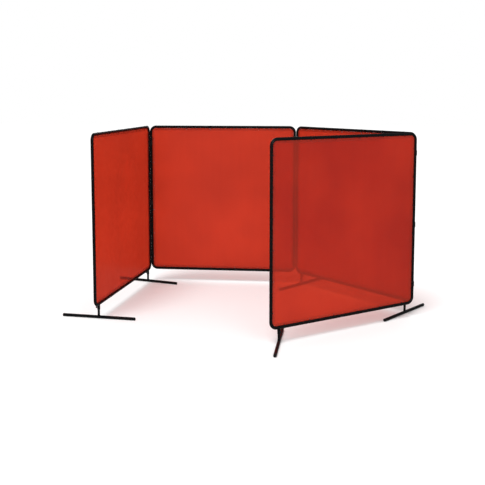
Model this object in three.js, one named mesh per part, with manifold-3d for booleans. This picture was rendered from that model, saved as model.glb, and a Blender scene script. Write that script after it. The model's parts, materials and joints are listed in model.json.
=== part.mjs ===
// Folding welding curtain screen: four square tube frames, each holding a translucent vinyl
// curtain, linked stile to stile by double hinge clips and standing on swivelling T-feet.
// Millimetres, +Z up, floor at z = 0, origin at the middle of the footprint.

import * as THREE from 'three';
import { mergeVertices } from 'three/addons/utils/BufferGeometryUtils.js';
import Module from 'manifold-3d';

const wasm = await Module();
wasm.setup();

// ---------------------------------------------------------------- driving dimensions

// Panel frame, outside sizes, and its bent tube.
const panelWidth = 1828.8;
const panelHeight = 1828.8;
const tubeDiameter = 31.75;
const tubeWall = 1.6;
const bendRadius = 63.5;
const railHeight = 155;

// Each frame is two U-shaped halves joined by a sleeve inside each stile.
const sleeveLength = 200;
const sleeveWall = 2;
const sleeveClearance = 0.3;
const seamGap = 0.3;
const screwDiameter = 5;
const screwHeadDiameter = 9.5;
const screwHeadHeight = 3;
const screwLength = 9;
const screwAboveSeam = 60;
const screwClearance = 0.3;

// Curtain: a thin film with a folded and stitched hem, just inside the frame.
const filmThickness = 0.5;
const hemThickness = 1.6;
const hemWidth = 25;
const curtainClearance = 0.3;

// Hinge clip: two back-to-back C grips, one on each neighbouring stile.
const clipWall = 3;
const clipWeb = 3;
const clipHeight = 50;
const clipClearance = 0.3;
const clipMouthHalfAngle = 70;
const clipFromRail = 200;
const middleClipBelowSeam = 60;

// T-foot: floor bar, upright post and the socket that takes it under the bottom rail.
const barLength = 812.8;
const barDiameter = 31.75;
const barWall = 1.6;
const postDiameter = 25.4;
const postWall = 1.6;
const postInset = 92;
const postSeatGap = 0.3;
const socketDiameter = 31.75;
const socketClearance = 0.5;
const socketDrop = 43;

// Plug cap in each end of a floor bar.
const capHeadLength = 6;
const capPlugLength = 16;
const capClearance = 0.3;

// Clamp knob: a lobed head on a screw that bears on the post through the socket.
const knobScrewDiameter = 6;
const knobScrewClearance = 0.3;
const knobHeadRadius = 9;
const knobLobeDepth = 1.2;
const knobLobes = 5;
const knobHeadHeight = 8;
const bossDiameter = 12;
const bossLength = 5;

// How the screen stands: the fold at each joint, and each foot's turn from square, in degrees.
const folds = { joint_12: 84, joint_23: -45, joint_34: -98 };
const footTurns = {
  foot_1_left: 0,
  foot_1_right: -10,
  foot_3_left: 6.5,
  foot_3_right: 8.5,
  foot_4_right: -39,
};

// Fineness of the faceted solids.
const tubeSides = 12;
const smallSides = 8;
const bendSteps = 4;
const overrun = 1;

// ---------------------------------------------------------------- derived sizes

const tubeRadius = tubeDiameter / 2;
const tubeCornerRadius = tubeRadius / Math.cos(Math.PI / tubeSides);
const halfWidth = panelWidth / 2 - tubeRadius;
const topRailHeight = railHeight + panelHeight - tubeDiameter;
const seamHeight = (railHeight + topRailHeight) / 2;
const railUnderside = railHeight - tubeRadius;
const clipBore = tubeCornerRadius + clipClearance;
const hingePitch = 2 * clipBore + clipWeb;
const postRadius = postDiameter / 2;
const postCornerRadius = postRadius / Math.cos(Math.PI / tubeSides);
const postTop = railUnderside - postSeatGap;
const socketBore = postCornerRadius + socketClearance;
const socketRadius = socketDiameter / 2;
const socketBottom = railUnderside - socketDrop;
const knobHeight = railUnderside - socketDrop / 2;
const knobHoleRadius = knobScrewDiameter / 2 / Math.cos(Math.PI / smallSides) + knobScrewClearance;
const sleeveRadius = tubeRadius - tubeWall - sleeveClearance;
const barRadius = barDiameter / 2;

// ---------------------------------------------------------------- materials

const enamel = { color: 0x0b0b0c, roughness: 0.35, metalness: 0.0 };
const bareSteel = { color: 0x9a9ca0, roughness: 0.4, metalness: 0.9 };
const blackSteel = { color: 0x1b1b1d, roughness: 0.4, metalness: 0.6 };
const vinyl = { color: 0xbc3626, roughness: 0.3, metalness: 0.0 };
const nylon = { color: 0x121212, roughness: 0.6, metalness: 0.0 };

// ---------------------------------------------------------------- solids

const radians = THREE.MathUtils.degToRad;

// A closed three.js geometry as a manifold solid.
function toSolid(geometry) {
  geometry.deleteAttribute('normal');
  geometry.deleteAttribute('uv');
  const merged = mergeVertices(geometry);
  return new wasm.Manifold(new wasm.Mesh({
    numProp: 3,
    vertProperties: new Float32Array(merged.attributes.position.array),
    triVerts: new Uint32Array(merged.index.array),
  }));
}

function toGeometry(solid) {
  const { vertProperties, triVerts } = solid.getMesh();
  const geometry = new THREE.BufferGeometry();
  geometry.setAttribute('position', new THREE.BufferAttribute(new Float32Array(vertProperties), 3));
  geometry.setIndex(new THREE.BufferAttribute(new Uint32Array(triVerts), 1));
  geometry.computeVertexNormals();
  return geometry;
}

function namedMesh(name, solid, look) {
  const mesh = new THREE.Mesh(toGeometry(solid), new THREE.MeshStandardMaterial(look));
  mesh.name = name;
  return mesh;
}

// A regular polygon whose flats lie at the given radius and face along the axes.
function flatSided(radius, sides) {
  const corner = radius / Math.cos(Math.PI / sides);
  const points = [];
  for (let i = 0; i < sides; i++) {
    const angle = (2 * Math.PI * (i + 0.5)) / sides;
    points.push(new THREE.Vector2(corner * Math.cos(angle), corner * Math.sin(angle)));
  }
  return new THREE.Shape(points);
}

// An upright extrusion of a shape between two heights.
function upright(shape, bottom, top, curveSegments = bendSteps) {
  const geometry = new THREE.ExtrudeGeometry(shape, {
    depth: top - bottom,
    bevelEnabled: false,
    curveSegments,
  });
  geometry.translate(0, 0, bottom);
  return geometry;
}

// A round bar lying along +Y from one distance to another, at the given height.
function alongY(radius, sides, start, end, height) {
  const geometry = upright(flatSided(radius, sides), start, end);
  geometry.rotateX(-Math.PI / 2);
  geometry.translate(0, 0, height);
  return toSolid(geometry);
}

// A path given by knots, each with its own tangent, so that a straight takes one step.
class KnotPath extends THREE.Curve {
  constructor(knots) {
    super();
    this.knots = knots;
  }

  getUtoTmapping(u) {
    return u;
  }

  knotAt(t) {
    return this.knots[Math.round(t * (this.knots.length - 1))];
  }

  getPoint(t, target = new THREE.Vector3()) {
    return target.copy(this.knotAt(t).point);
  }

  getTangent(t, target = new THREE.Vector3()) {
    return target.copy(this.knotAt(t).tangent);
  }
}

// The centreline of half a frame: up or down a stile, along the rail and back along the other.
function halfFramePath(stileEnd, railZ) {
  const away = Math.sign(railZ - stileEnd);
  const knots = [];
  const addKnot = (x, z, tangentX, tangentZ) => {
    knots.push({
      point: new THREE.Vector3(x, 0, z),
      tangent: new THREE.Vector3(tangentX, 0, tangentZ),
    });
  };
  const addBend = (side, from) => {
    for (let i = 0; i <= bendSteps; i++) {
      const angle = from - (i / bendSteps) * (Math.PI / 2);
      const x = side * (halfWidth - bendRadius) + bendRadius * Math.cos(angle);
      const z = railZ + away * bendRadius * (Math.sin(angle) - 1);
      addKnot(x, z, Math.sin(angle), -away * Math.cos(angle));
    }
  };
  addKnot(-halfWidth, stileEnd, 0, away);
  addBend(-1, Math.PI);
  addBend(1, Math.PI / 2);
  addKnot(halfWidth, stileEnd, 0, -away);
  return new KnotPath(knots);
}

function bentBar(radius, stileEnd, railZ) {
  const path = halfFramePath(stileEnd, railZ);
  return toSolid(new THREE.ExtrudeGeometry(flatSided(radius, tubeSides), {
    steps: path.knots.length - 1,
    extrudePath: path,
  }));
}

// The splice screws face opposite sides, so heads on neighbouring stiles never meet.
const screwFacing = { left: -1, right: 1 };
const sideSign = { left: -1, right: 1 };

function screwAxis(side, radius, start, end) {
  const facing = screwFacing[side];
  const [near, far] = facing > 0 ? [start, end] : [-end, -start];
  return alongY(radius, smallSides, near, far, seamHeight + screwAboveSeam)
    .translate([sideSign[side] * halfWidth, 0, 0]);
}

function screwHole(side) {
  const radius = screwDiameter / 2 / Math.cos(Math.PI / smallSides) + screwClearance;
  return screwAxis(side, radius, 0, tubeRadius + overrun);
}

function frameTop() {
  const stileEnd = seamHeight + seamGap / 2;
  return bentBar(tubeRadius, stileEnd, topRailHeight)
    .subtract(bentBar(tubeRadius - tubeWall, stileEnd - overrun, topRailHeight))
    .subtract(screwHole('left'))
    .subtract(screwHole('right'));
}

function frameBottom(footSides) {
  const stileEnd = seamHeight - seamGap / 2;
  let body = bentBar(tubeRadius, stileEnd, railHeight);
  let hollow = bentBar(tubeRadius - tubeWall, stileEnd + overrun, railHeight);
  for (const side of footSides) {
    const x = footX(side);
    const tube = toSolid(upright(flatSided(socketRadius, tubeSides), socketBottom, railHeight));
    const boss = alongY(bossDiameter / 2, smallSides, postRadius, socketRadius + bossLength, knobHeight);
    const bore = toSolid(
      upright(flatSided(socketBore, tubeSides), socketBottom - overrun, railUnderside));
    const thread = alongY(knobHoleRadius, smallSides, 0, socketRadius + bossLength + overrun, knobHeight);
    body = body.add(tube.translate([x, 0, 0])).add(boss.translate([x, 0, 0]));
    hollow = hollow.add(bore.translate([x, 0, 0])).add(thread.translate([x, 0, 0]));
  }
  return body.subtract(hollow);
}

function spliceSleeve(side) {
  const bottom = seamHeight - sleeveLength / 2;
  const top = seamHeight + sleeveLength / 2;
  const outer = toSolid(upright(flatSided(sleeveRadius, tubeSides), bottom, top));
  const inner = toSolid(
    upright(flatSided(sleeveRadius - sleeveWall, tubeSides), bottom - overrun, top + overrun));
  return outer.subtract(inner)
    .translate([sideSign[side] * halfWidth, 0, 0])
    .subtract(screwHole(side));
}

function spliceScrew(side) {
  const underHead = tubeRadius + screwClearance;
  const shank = screwAxis(side, screwDiameter / 2, underHead - screwLength, underHead + overrun);
  const head = screwAxis(side, screwHeadDiameter / 2, underHead, underHead + screwHeadHeight);
  return shank.add(head);
}

// Rounded rectangle centred on the frame opening, `inside` millimetres in from the curtain edge.
function curtainSheet(inside, thickness) {
  const reach = tubeRadius + curtainClearance + inside;
  const x = halfWidth - reach;
  const low = railHeight + reach;
  const high = topRailHeight - reach;
  const corner = Math.max(bendRadius - reach, 1);
  const outline = new THREE.Shape();
  outline.absarc(x - corner, high - corner, corner, 0, Math.PI / 2);
  outline.absarc(corner - x, high - corner, corner, Math.PI / 2, Math.PI);
  outline.absarc(corner - x, low + corner, corner, Math.PI, 1.5 * Math.PI);
  outline.absarc(x - corner, low + corner, corner, 1.5 * Math.PI, 2 * Math.PI);
  const geometry = upright(outline, -thickness / 2, thickness / 2, bendSteps / 2);
  geometry.rotateX(Math.PI / 2);
  return toSolid(geometry);
}

// The hem stands proud of the film on both faces.
function curtain() {
  const recess = curtainSheet(hemWidth, hemThickness);
  const offset = (filmThickness + hemThickness) / 2;
  return curtainSheet(0, hemThickness)
    .subtract(recess.translate([0, offset, 0]))
    .subtract(recess.translate([0, -offset, 0]));
}

// Double C grip with the first stile at the origin and the next one along `side` of +X.
function hingeClip(height, side) {
  const bottom = height - clipHeight / 2;
  const top = height + clipHeight / 2;
  const grip = toSolid(upright(flatSided(clipBore + clipWall, tubeSides), bottom, top));
  const bore = toSolid(upright(flatSided(clipBore, tubeSides), bottom - overrun, top + overrun));
  const reach = 3 * clipBore;
  const spread = radians(clipMouthHalfAngle);
  const mouthShape = new THREE.Shape([
    new THREE.Vector2(0, 0),
    new THREE.Vector2(-reach * Math.cos(spread), -reach * Math.sin(spread)),
    new THREE.Vector2(-reach, -reach * Math.sin(spread)),
    new THREE.Vector2(-reach, reach * Math.sin(spread)),
    new THREE.Vector2(-reach * Math.cos(spread), reach * Math.sin(spread)),
  ].reverse());
  const mouth = toSolid(upright(mouthShape, bottom - overrun, top + overrun));
  const webShape = new THREE.Shape([
    new THREE.Vector2(0, -clipBore / 2),
    new THREE.Vector2(hingePitch, -clipBore / 2),
    new THREE.Vector2(hingePitch, clipBore / 2),
    new THREE.Vector2(0, clipBore / 2),
  ]);
  const web = toSolid(upright(webShape, bottom, top));
  const farMouth = mouth.mirror([1, 0, 0]).translate([hingePitch, 0, 0]);
  const clip = grip.add(grip.translate([hingePitch, 0, 0])).add(web)
    .subtract(bore).subtract(bore.translate([hingePitch, 0, 0]))
    .subtract(mouth).subtract(farMouth);
  return side > 0 ? clip : clip.mirror([1, 0, 0]);
}

function foot() {
  const tubeHalf = barLength / 2 - capHeadLength;
  const bar = alongY(barRadius, tubeSides, -tubeHalf, tubeHalf, barRadius);
  const barHollow = alongY(barRadius - barWall, tubeSides, -barLength, barLength, barRadius);
  const post = toSolid(upright(flatSided(postRadius, tubeSides), barRadius, postTop));
  const postHollow = toSolid(
    upright(flatSided(postRadius - postWall, tubeSides), barDiameter, postTop + overrun));
  return bar.add(post).subtract(barHollow).subtract(postHollow);
}

// Domed plug cap turned about +Y, its head seated against the end of the bar at y = 0.
function footCap() {
  const plugRadius = barRadius - barWall - capClearance;
  const headRadius = barRadius - capClearance;
  const profile = [
    [0, -capPlugLength],
    [plugRadius - 1, -capPlugLength],
    [plugRadius, -capPlugLength + 2],
    [plugRadius, capClearance],
    [headRadius, capClearance],
    [headRadius, capHeadLength * 0.45],
    [headRadius * 0.86, capHeadLength * 0.85],
    [headRadius * 0.55, capHeadLength],
    [0, capHeadLength],
  ].map(([radius, y]) => new THREE.Vector2(radius, y));
  return toSolid(new THREE.LatheGeometry(profile, smallSides));
}

// Lobed head and screw along +Y, turning about x = 0 at the knob height.
function clampKnob() {
  const tip = postCornerRadius + knobScrewClearance;
  const headStart = socketRadius + bossLength + knobScrewClearance;
  const points = [];
  const count = 6 * knobLobes;
  for (let i = 0; i < count; i++) {
    const angle = (2 * Math.PI * i) / count;
    const radius = knobHeadRadius + knobLobeDepth * Math.cos(knobLobes * angle);
    points.push(new THREE.Vector2(radius * Math.cos(angle), radius * Math.sin(angle)));
  }
  const head = upright(new THREE.Shape(points), headStart, headStart + knobHeadHeight);
  head.rotateX(-Math.PI / 2);
  head.translate(0, 0, knobHeight);
  const shank = alongY(knobScrewDiameter / 2, smallSides, tip, headStart + overrun, knobHeight);
  return toSolid(head).add(shank);
}

// ---------------------------------------------------------------- sub-assemblies

function footX(side) {
  return sideSign[side] * (halfWidth - postInset);
}

function buildFoot(panel, number, side) {
  const name = `foot_${number}_${side}`;
  const group = new THREE.Group();
  group.name = `${name}_swivel`;
  group.position.x = footX(side);
  group.rotation.z = radians(footTurns[name]);
  group.add(namedMesh(name, foot(), enamel));
  for (const [end, turn] of [['outer', 0], ['inner', Math.PI]]) {
    const cap = namedMesh(`foot_cap_${number}_${side}_${end}`, footCap(), nylon);
    cap.position.set(0, Math.cos(turn) * (barLength / 2 - capHeadLength), barRadius);
    cap.rotation.z = turn;
    group.add(cap);
  }
  panel.add(group);

  const knob = new THREE.Group();
  knob.name = `clamp_knob_${number}_${side}_spin`;
  knob.position.x = footX(side);
  knob.add(namedMesh(`clamp_knob_${number}_${side}`, clampKnob(), nylon));
  panel.add(knob);
}

// One panel, standing across x = 0, with feet at the given sides.
function buildPanel(number, footSides) {
  const panel = new THREE.Group();
  panel.name = `panel_${number}`;
  panel.add(namedMesh(`frame_top_${number}`, frameTop(), enamel));
  panel.add(namedMesh(`frame_bottom_${number}`, frameBottom(footSides), enamel));
  panel.add(namedMesh(`curtain_${number}`, curtain(), vinyl));
  for (const side of ['left', 'right']) {
    panel.add(namedMesh(`splice_sleeve_${number}_${side}`, spliceSleeve(side), bareSteel));
    panel.add(namedMesh(`splice_screw_${number}_${side}`, spliceScrew(side), blackSteel));
  }
  for (const side of footSides) {
    buildFoot(panel, number, side);
  }
  return panel;
}

// Links a panel to its neighbour: half of the fold is at each of the clip's two grips.
function joinPanels(parent, child, side, jointName) {
  const sign = sideSign[side];
  const halfFold = radians(folds[jointName]) / 2;
  const pair = jointName.slice(-2);
  const clipHeights = {
    top: topRailHeight - clipFromRail,
    middle: seamHeight - middleClipBelowSeam,
    bottom: railHeight + clipFromRail,
  };
  const clips = new THREE.Group();
  clips.name = `clips_${pair}`;
  clips.position.x = sign * halfWidth;
  clips.rotation.z = halfFold;
  for (const [place, height] of Object.entries(clipHeights)) {
    clips.add(namedMesh(`hinge_clip_${pair}_${place}`, hingeClip(height, sign), nylon));
  }
  const farGrip = new THREE.Group();
  farGrip.name = `far_grip_${pair}`;
  farGrip.position.x = sign * hingePitch;
  farGrip.rotation.z = halfFold;
  child.position.x = sign * halfWidth;
  farGrip.add(child);
  clips.add(farGrip);
  parent.add(clips);
}

// ---------------------------------------------------------------- the screen

const screen = new THREE.Group();
screen.name = 'welding_curtain_screen';
const panel1 = buildPanel(1, ['left', 'right']);
const panel2 = buildPanel(2, []);
const panel3 = buildPanel(3, ['left', 'right']);
const panel4 = buildPanel(4, ['right']);
joinPanels(panel2, panel1, 'left', 'joint_12');
joinPanels(panel2, panel3, 'right', 'joint_23');
joinPanels(panel3, panel4, 'right', 'joint_34');
screen.add(panel2);

// The origin is the middle of the floor area that the standing screen takes up.
const footprint = new THREE.Box3().setFromObject(screen, true).getCenter(new THREE.Vector3());
panel2.position.set(-footprint.x, -footprint.y, 0);

export default screen;
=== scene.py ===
"""Folding welding screen: tube frames, laced vinyl curtains, hinge clips and T-feet."""

import json
import math

import bmesh
import bpy
import numpy as np
from mathutils import Matrix, Vector


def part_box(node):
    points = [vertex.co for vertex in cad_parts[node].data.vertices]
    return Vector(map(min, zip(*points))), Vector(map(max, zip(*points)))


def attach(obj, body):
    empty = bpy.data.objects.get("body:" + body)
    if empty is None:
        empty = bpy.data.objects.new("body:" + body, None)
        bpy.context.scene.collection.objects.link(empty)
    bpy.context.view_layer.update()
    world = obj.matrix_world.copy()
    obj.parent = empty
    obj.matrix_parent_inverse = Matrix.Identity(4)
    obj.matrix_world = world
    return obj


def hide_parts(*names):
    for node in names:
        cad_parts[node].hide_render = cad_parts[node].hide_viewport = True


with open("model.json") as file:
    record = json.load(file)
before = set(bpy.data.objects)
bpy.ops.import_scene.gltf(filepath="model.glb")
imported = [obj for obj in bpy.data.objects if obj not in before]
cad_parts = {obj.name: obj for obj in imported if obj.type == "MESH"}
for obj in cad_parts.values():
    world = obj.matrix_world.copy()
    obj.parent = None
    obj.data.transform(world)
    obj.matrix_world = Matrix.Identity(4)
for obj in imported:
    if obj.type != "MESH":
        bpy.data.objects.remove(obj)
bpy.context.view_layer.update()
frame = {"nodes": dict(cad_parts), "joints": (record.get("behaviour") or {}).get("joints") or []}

bl_info = {
    "name": "Welding curtain screen",
    "version": (1, 0, 0),
    "blender": (4, 5, 0),
    "location": "3D View > Sidebar > Screen",
    "description": "Builds a folding welding screen of tube frames, vinyl curtains and T-feet",
    "category": "Object",
}

MM = 0.001
FEET = ((1, "left"), (1, "right"), (3, "left"), (3, "right"), (4, "right"))
SOCKETS = {1: ("left", "right"), 2: (), 3: ("left", "right"), 4: ("right",)}
SIDE = {"left": -1, "right": 1}
SCREW_FACING = {"left": -1, "right": 1}
JOINTS = {joint["name"]: joint for joint in frame["joints"]}
CLIP_GRIPS = {
    "12": ("grip_21", "grip_12"),
    "23": ("grip_23", "grip_32"),
    "34": ("grip_34", "grip_43"),
}
CLIP_PLACES = ("top", "middle", "bottom")


def middle(node):
    """The middle of a node's box."""
    low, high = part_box(node)
    return (low + high) / 2


# Panel 2 stands square to the axes, so its halves give the frame's own sizes.
TOP_LOW, TOP_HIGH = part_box("frame_top_2")
BOTTOM_LOW, BOTTOM_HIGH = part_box("frame_bottom_2")


# ------------------------------------------------------------------ sizes and colours


def length(name, default, about):
    """A length property, in metres."""
    return bpy.props.FloatProperty(
        name=name, description=about, default=default, min=0.0, precision=5, unit="LENGTH"
    )


def count(name, default, about):
    """A whole-number property."""
    return bpy.props.IntProperty(name=name, description=about, default=default, min=3)


def colour(name, default, about):
    """A colour property, in linear light."""
    return bpy.props.FloatVectorProperty(
        name=name, description=about, default=default, min=0.0, max=1.0, size=3, subtype="COLOR"
    )


class ScreenSizes(bpy.types.PropertyGroup):
    """Sizes of the screen's pieces."""

    tube_radius: length("Tube radius", 15.875 * MM, "Outside radius of the frame tube")
    tube_wall: length("Tube wall", 1.6 * MM, "Wall of the frame tube")
    bend_radius: length("Bend radius", 63.5 * MM, "Middle radius of the corner bends")
    tube_sides: count("Tube sides", 48, "Faces round a tube")
    bend_steps: count("Bend steps", 14, "Faces along a corner bend")
    foot_inset: length("Foot inset", 92 * MM, "From a stile's axis to the foot post")
    socket_drop: length("Socket drop", 43 * MM, "How far a socket reaches below the rail")
    socket_bore: length("Socket bore", 13.5 * MM, "Inside radius of a post socket")
    post_radius: length("Post radius", 12.7 * MM, "Outside radius of a foot post")
    post_gap: length("Post gap", 0.3 * MM, "Room between post and rail")
    bar_length: length("Bar length", 812.8 * MM, "Length of a floor bar with its caps")
    cap_head: length("Cap head", 6 * MM, "How far a cap's dome stands out of the bar")
    hem_width: length("Hem width", 25 * MM, "Width of the curtain's doubled hem")
    hem_thickness: length("Hem thickness", 1.5 * MM, "Thickness of the doubled hem")
    film_thickness: length("Film thickness", 0.5 * MM, "Thickness of the single vinyl film")
    curtain_gap: length("Curtain gap", 0.12 * MM, "Room between hem and tube")
    eyelet_inset: length("Eyelet inset", 12.5 * MM, "From the hem's edge to an eyelet's middle")
    eyelets_per_side: count("Eyelets per side", 6, "Eyelets along each side of a curtain")
    clip_height: length("Clip height", 50 * MM, "Height of a hinge clip")
    clip_bore: length("Clip bore", 16.15 * MM, "Inside radius of a clip's grip")
    clip_outside: length("Clip outside", 19.6 * MM, "Outside radius of a clip's grip")
    knob_radius: length("Knob radius", 9.6 * MM, "Outside radius of a clamp knob")
    knob_height: length("Knob height", 8 * MM, "Thickness of a clamp knob's head")
    screw_head: length("Screw head", 4.7 * MM, "Radius of a splice screw's head")
    screw_rise: length("Screw rise", 60 * MM, "Height of the splice screws above the seam")
    floor_size: length("Floor size", 90.0, "Side of the studio floor")


class ScreenColours(bpy.types.PropertyGroup):
    """Colours of the screen's finishes."""

    enamel: colour("Enamel", (0.0030, 0.0030, 0.0034), "Black enamel of the frames and feet")
    enamel_rubbed: colour("Rubbed enamel", (0.013, 0.013, 0.014), "Enamel where it is scuffed")
    vinyl: colour("Vinyl", (0.405, 0.0300, 0.0140), "Body of the vinyl")
    vinyl_light: colour("Light vinyl", (0.50, 0.0400, 0.0155), "Vinyl where it is palest")
    vinyl_see: colour("Vinyl tint", (1.0, 0.26, 0.16), "Tint of light through one face")
    thread: colour("Thread", (0.30, 0.012, 0.010), "Hem stitching")
    eyelet: colour("Eyelet", (0.28, 0.010, 0.009), "Lacquered eyelets")
    nylon: colour("Nylon", (0.010, 0.010, 0.0105), "Clips, caps and knobs")
    nylon_bloom: colour("Nylon bloom", (0.026, 0.026, 0.027), "Nylon where it is rubbed pale")
    oxide: colour("Black oxide", (0.030, 0.030, 0.033), "Splice and clamp screws")
    steel: colour("Steel", (0.42, 0.42, 0.43), "Bare splice sleeves")
    steel_dull: colour("Dull steel", (0.27, 0.27, 0.28), "Sleeves where they are dull")
    floor: colour("Floor", (0.93, 0.93, 0.93), "Studio floor")


def panel_layout(sizes):
    """Where the frame's own lines lie, in a panel's own frame."""
    radius = sizes.tube_radius
    half = (TOP_HIGH.x - TOP_LOW.x) / 2 - radius
    return {
        "half": half,
        "top_rail": TOP_HIGH.z - radius,
        "bottom_rail": BOTTOM_LOW.z + radius,
        "top_end": TOP_LOW.z,
        "bottom_end": BOTTOM_HIGH.z,
        "screw": (TOP_LOW.z + BOTTOM_HIGH.z) / 2 + sizes.screw_rise,
        "foot": half - sizes.foot_inset,
    }


def panel_matrix(number, lay):
    """Places a panel's own frame, from two joints that lie on it."""
    half, foot = lay["half"], lay["foot"]
    marks = {
        1: (("foot_1_left_swivel", -foot), ("foot_1_right_swivel", foot)),
        2: (("grip_21", -half), ("grip_23", half)),
        3: (("foot_3_left_swivel", -foot), ("foot_3_right_swivel", foot)),
        4: (("grip_43", -half), ("foot_4_right_swivel", foot)),
    }
    (first, first_x), (second, second_x) = marks[number]
    start, end = Vector(JOINTS[first]["pos_m"]), Vector(JOINTS[second]["pos_m"])
    along = Vector((end.x - start.x, end.y - start.y, 0.0)).normalized()
    centre = start - along * first_x
    turn = math.atan2(along.y, along.x)
    return Matrix.Translation((centre.x, centre.y, 0.0)) @ Matrix.Rotation(turn, 4, "Z")


# ------------------------------------------------------------------ modelling helpers


def clear():
    """Object mode with nothing selected."""
    if bpy.context.object and bpy.context.object.mode != "OBJECT":
        bpy.ops.object.mode_set(mode="OBJECT")
    bpy.ops.object.select_all(action="DESELECT")


def start(add, name, **settings):
    """Adds a primitive, names it, and sets its place into its mesh."""
    clear()
    add(**settings)
    obj = bpy.context.object
    obj.name = obj.data.name = name
    bpy.ops.object.transform_apply(location=True, rotation=True, scale=True)
    return obj


def only(*objs):
    """Selects these objects alone; the first one is active."""
    clear()
    for obj in objs:
        obj.select_set(True)
    bpy.context.view_layer.objects.active = objs[0]


def edit(obj, kind="VERT"):
    """Edit mode on one object, with nothing selected."""
    only(obj)
    bpy.ops.object.mode_set(mode="EDIT")
    bpy.ops.mesh.select_mode(type=kind)
    bpy.ops.mesh.select_all(action="DESELECT")


def done():
    """Back to object mode."""
    bpy.ops.object.mode_set(mode="OBJECT")


def pick(obj, test, kind="VERT"):
    """Selects the vertices, edges or faces that pass a test of their middle and normal."""
    mesh = bmesh.from_edit_mesh(obj.data)
    for part in {"VERT": mesh.verts, "EDGE": mesh.edges, "FACE": mesh.faces}[kind]:
        if kind == "VERT":
            chosen = test(part.co, part.normal)
        elif kind == "EDGE":
            chosen = test((part.verts[0].co + part.verts[1].co) / 2,
                          (part.verts[1].co - part.verts[0].co).normalized())
        else:
            chosen = test(part.calc_center_median(), part.normal)
        part.select_set(bool(chosen))
    mesh.select_flush_mode()
    bmesh.update_edit_mesh(obj.data)


def pull(*move):
    """Extrudes what is selected by a move."""
    bpy.ops.mesh.extrude_region_move(TRANSFORM_OT_translate={"value": move})


def turn(angle, centre, axis, steps):
    """Spins what is selected about an axis, by the right-hand rule."""
    bpy.ops.mesh.spin(steps=steps, angle=-angle, center=centre, axis=axis)


def weld(obj, distance=0.01 * MM):
    """Merges doubles and turns every face outwards."""
    edit(obj)
    bpy.ops.mesh.select_all(action="SELECT")
    bpy.ops.mesh.remove_doubles(threshold=distance)
    bpy.ops.mesh.normals_make_consistent(inside=False)
    done()


def cap_ends(obj):
    """Closes every open end with a face."""
    edit(obj)
    bpy.ops.mesh.select_all(action="SELECT")
    bpy.ops.mesh.fill_holes(sides=0)
    bpy.ops.mesh.normals_make_consistent(inside=False)
    done()


def modify(obj, kind, **settings):
    """Adds a modifier and applies it."""
    only(obj)
    modifier = obj.modifiers.new(kind.title(), kind)
    for name, value in settings.items():
        setattr(modifier, name, value)
    bpy.ops.object.modifier_apply(modifier=modifier.name)


def cut(obj, tool, operation="DIFFERENCE"):
    """Joins or cuts with a tool solid, which is then gone."""
    modify(obj, "BOOLEAN", operation=operation, object=tool, solver="EXACT")
    bpy.data.objects.remove(tool)


def join(objs, name):
    """One object of several."""
    only(*objs)
    if len(objs) > 1:
        bpy.ops.object.join()
    obj = bpy.context.object
    obj.name = obj.data.name = name
    return obj


def smooth(obj, degrees=35.0):
    """Smooth shading that keeps edges sharper than an angle."""
    only(obj)
    bpy.ops.object.shade_smooth_by_angle(angle=math.radians(degrees))


def round_edges(obj, width, segments=2, degrees=40.0):
    """Rounds the sharp edges."""
    modify(obj, "BEVEL", width=width, segments=segments, limit_method="ANGLE",
           angle_limit=math.radians(degrees), use_clamp_overlap=True)


def finish_with(obj, *materials):
    """Gives an object its materials."""
    obj.data.materials.clear()
    for material in materials:
        obj.data.materials.append(material)


def copy_of(master, matrix):
    """A copy of a master with its own mesh, set in place."""
    obj = master.copy()
    obj.data = master.data.copy()
    bpy.context.scene.collection.objects.link(obj)
    obj.data.transform(matrix)
    return obj


def place(master, name, matrix, body, nodes=()):
    """A named copy of a master that rides on a body and stands for its CAD nodes."""
    obj = copy_of(master, matrix)
    obj.name = obj.data.name = name
    obj.data.update()
    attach(obj, body)
    if nodes:
        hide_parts(*nodes)
    return obj


def discard(*objs):
    """Removes masters that have been copied."""
    for obj in objs:
        bpy.data.objects.remove(obj)


def move_points(obj, rule):
    """Moves every vertex by a rule that takes and gives an array of points."""
    points = np.empty(len(obj.data.vertices) * 3)
    obj.data.vertices.foreach_get("co", points)
    moved = rule(points.reshape(-1, 3))
    obj.data.vertices.foreach_set("co", np.ascontiguousarray(moved).ravel())
    obj.data.update()


def rod(name, radius, sides, start_at, end_at, axis="Z", at=(0.0, 0.0, 0.0)):
    """A closed round bar along an axis."""
    middle_at = Vector(at)
    index = "XYZ".index(axis)
    middle_at[index] = (start_at + end_at) / 2
    rotation = {"X": (0, math.pi / 2, 0), "Y": (math.pi / 2, 0, 0), "Z": (0, 0, 0)}[axis]
    return start(bpy.ops.mesh.primitive_cylinder_add, name, vertices=sides, radius=radius,
                 depth=abs(end_at - start_at), location=middle_at, rotation=rotation)


# ------------------------------------------------------------------ material helpers

STREAK_SHARE = 0.1
FILM_SEE_THROUGH, HEM_SEE_THROUGH = 0.49, 0.36
HEM_DEPTH = 0.90
GROUPS = {}
FINISHES = {}


def node_group(name, inputs, outputs):
    """An empty shader group with its sockets, and its two end nodes."""
    group = bpy.data.node_groups.new(name, "ShaderNodeTree")
    for socket, kind, default in inputs:
        made = group.interface.new_socket(socket, in_out="INPUT", socket_type="NodeSocket" + kind)
        if default is not None:
            made.default_value = default
    for socket, kind in outputs:
        group.interface.new_socket(socket, in_out="OUTPUT", socket_type="NodeSocket" + kind)
    return group, group.nodes.new("NodeGroupInput"), group.nodes.new("NodeGroupOutput")


def feed(tree, socket, value):
    """Links an input to another socket, or sets its value."""
    if isinstance(value, bpy.types.NodeSocket):
        tree.links.new(value, socket)
    else:
        socket.default_value = value


def add_node(tree, kind, links=(), **settings):
    """A node with its settings, and links of input name to socket or value."""
    node = tree.nodes.new("ShaderNode" + kind)
    for name, value in settings.items():
        setattr(node, name, value)
    for name, value in dict(links).items():
        feed(tree, node.inputs[name], value)
    return node


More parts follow.
